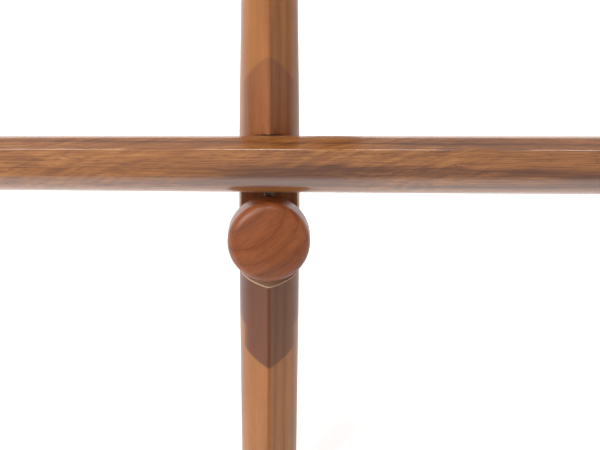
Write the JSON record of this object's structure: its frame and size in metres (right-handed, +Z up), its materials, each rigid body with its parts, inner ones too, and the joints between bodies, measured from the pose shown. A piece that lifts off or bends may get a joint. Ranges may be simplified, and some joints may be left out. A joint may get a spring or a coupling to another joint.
{
  "type": "folding luggage rack",
  "caption": "Folding luggage rack: crossed ridged wooden legs, long rounded bars carried on steel eyes behind round wooden knobs, and leather straps looped over the top bars.",
  "frame": {"origin": "on the floor under the middle of the rack, open", "axes": "+Z up, +X along the bars, -Y towards the feet of the outer frame"},
  "size_m": [0.65, 0.4338, 0.4726],
  "materials": {
    "leg_wood": "oiled satin",
    "bar_wood": "oiled satin",
    "knob_wood": "oiled satin",
    "brass": "machined",
    "strap_leather": "waxed, edge-dyed",
    "copper": "burnished",
    "foot_rubber": "matte",
    "spacer_nylon": "matte",
    "steel": "polished"
  },
  "bodies": {
    "outer_frame": {"front_rivets": "copper", "outer_collars": "steel", "outer_foot_pad_left": "foot_rubber", "outer_foot_pad_right": "foot_rubber", "outer_leg_left": "leg_wood", "outer_leg_right": "leg_wood", "outer_low_bar": "bar_wood", "outer_low_eye_left": "steel", "outer_low_eye_right": "steel", "outer_studs": "steel", "outer_top_bar": "bar_wood", "outer_top_eye_left": "steel", "outer_top_eye_right": "steel", "pivot_bolt_left": "steel", "pivot_bolt_right": "steel", "pivot_nut_left": "steel", "pivot_nut_right": "steel", "pivot_spacers": "spacer_nylon", "rear_rivets": "copper", "strap_far_left": "strap_leather", "strap_far_right": "strap_leather", "strap_near_left": "strap_leather", "strap_near_right": "strap_leather"},
    "inner_frame": {"inner_collars": "steel", "inner_foot_pad_left": "foot_rubber", "inner_foot_pad_right": "foot_rubber", "inner_leg_left": "leg_wood", "inner_leg_right": "leg_wood", "inner_low_bar": "bar_wood", "inner_low_eye_left": "steel", "inner_low_eye_right": "steel", "inner_studs": "steel", "inner_top_bar": "bar_wood", "inner_top_eye_left": "steel", "inner_top_eye_right": "steel"},
    "turn_inner_low_knob_left": {"inner_low_insert_left": "brass", "inner_low_knob_left": "knob_wood"},
    "turn_inner_low_knob_right": {"inner_low_insert_right": "brass", "inner_low_knob_right": "knob_wood"},
    "turn_inner_top_knob_left": {"inner_top_insert_left": "brass", "inner_top_knob_left": "knob_wood"},
    "turn_inner_top_knob_right": {"inner_top_insert_right": "brass", "inner_top_knob_right": "knob_wood"},
    "turn_outer_low_knob_left": {"outer_low_insert_left": "brass", "outer_low_knob_left": "knob_wood"},
    "turn_outer_low_knob_right": {"outer_low_insert_right": "brass", "outer_low_knob_right": "knob_wood"},
    "turn_outer_top_knob_left": {"outer_top_insert_left": "brass", "outer_top_knob_left": "knob_wood"},
    "turn_outer_top_knob_right": {"outer_top_insert_right": "brass", "outer_top_knob_right": "knob_wood"}
  },
  "joints": [
    {"name": "frame_fold", "type": "hinge", "parent": "outer_frame", "child": "inner_frame", "pos_m": [0, 0, 0.236], "axis": [1, 0, 0], "range_deg": [-60, 0], "deforming": ["strap_far_left", "strap_far_right", "strap_near_left", "strap_near_right", "front_rivets", "rear_rivets"]},
    {"name": "outer_low_knob_left_spin", "type": "hinge", "parent": "outer_frame", "child": "turn_outer_low_knob_left", "pos_m": [-0.19, -0.10943, 0.12783], "axis": [0, -0.766, 0.6428], "continuous": true},
    {"name": "outer_low_knob_right_spin", "type": "hinge", "parent": "outer_frame", "child": "turn_outer_low_knob_right", "pos_m": [0.19, -0.10943, 0.12783], "axis": [0, -0.766, 0.6428], "continuous": true},
    {"name": "outer_top_knob_left_spin", "type": "hinge", "parent": "outer_frame", "child": "turn_outer_top_knob_left", "pos_m": [-0.19, 0.12326, 0.40514], "axis": [0, -0.766, 0.6428], "continuous": true},
    {"name": "outer_top_knob_right_spin", "type": "hinge", "parent": "outer_frame", "child": "turn_outer_top_knob_right", "pos_m": [0.19, 0.12326, 0.40514], "axis": [0, -0.766, 0.6428], "continuous": true},
    {"name": "inner_low_knob_left_spin", "type": "hinge", "parent": "inner_frame", "child": "turn_inner_low_knob_left", "pos_m": [-0.16, 0.10943, 0.12783], "axis": [0, 0.766, 0.6428], "continuous": true},
    {"name": "inner_low_knob_right_spin", "type": "hinge", "parent": "inner_frame", "child": "turn_inner_low_knob_right", "pos_m": [0.16, 0.10943, 0.12783], "axis": [0, 0.766, 0.6428], "continuous": true},
    {"name": "inner_top_knob_left_spin", "type": "hinge", "parent": "inner_frame", "child": "turn_inner_top_knob_left", "pos_m": [-0.16, -0.12326, 0.40514], "axis": [0, 0.766, 0.6428], "continuous": true},
    {"name": "inner_top_knob_right_spin", "type": "hinge", "parent": "inner_frame", "child": "turn_inner_top_knob_right", "pos_m": [0.16, -0.12326, 0.40514], "axis": [0, 0.766, 0.6428], "continuous": true}
  ]
}
